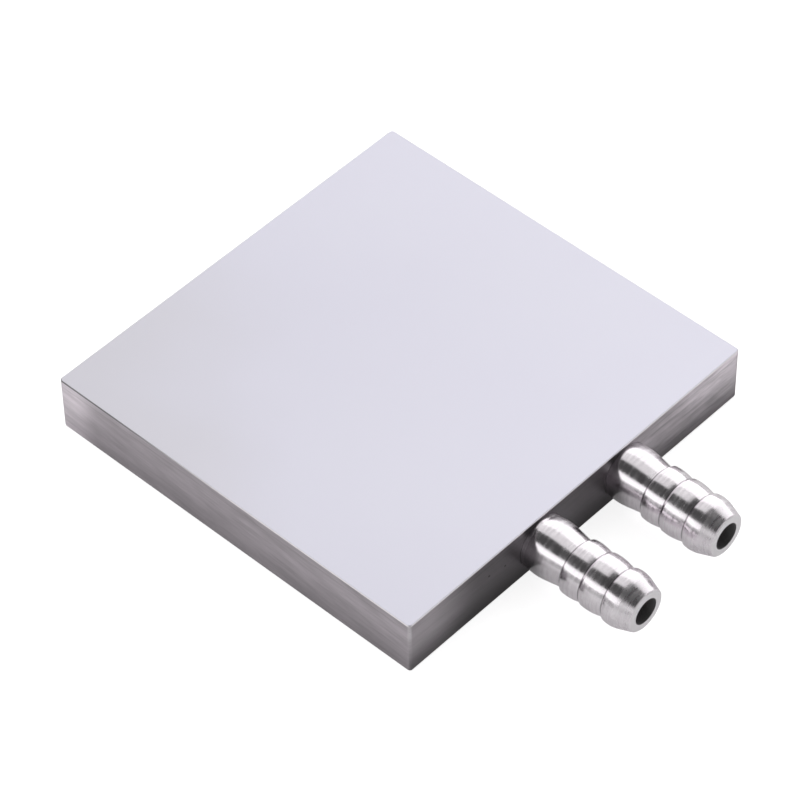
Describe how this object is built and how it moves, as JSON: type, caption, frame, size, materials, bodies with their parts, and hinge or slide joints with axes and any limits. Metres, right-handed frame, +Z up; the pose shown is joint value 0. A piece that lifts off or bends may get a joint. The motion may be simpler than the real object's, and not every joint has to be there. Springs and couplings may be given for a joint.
{
  "type": "liquid cooling cold plate",
  "caption": "Square flat aluminium plate that cools what is clamped to it, with a serpentine coolant channel inside and barbed hose nozzles on one side face.",
  "frame": {"origin": "centre of the plate's bottom face", "axes": "+X the way the hose nozzles point, +Y along the nozzle face, +Z up out of the cooling face"},
  "size_m": [0.1026, 0.082, 0.0115],
  "materials": {
    "milled_aluminium": "brushed",
    "satin_aluminium": "satin",
    "turned_aluminium": "polished"
  },
  "bodies": {
    "root": {"base_plate": "milled_aluminium", "cover_plate": "satin_aluminium", "inlet_nozzle": "turned_aluminium", "outlet_nozzle": "turned_aluminium"}
  },
  "joints": []
}
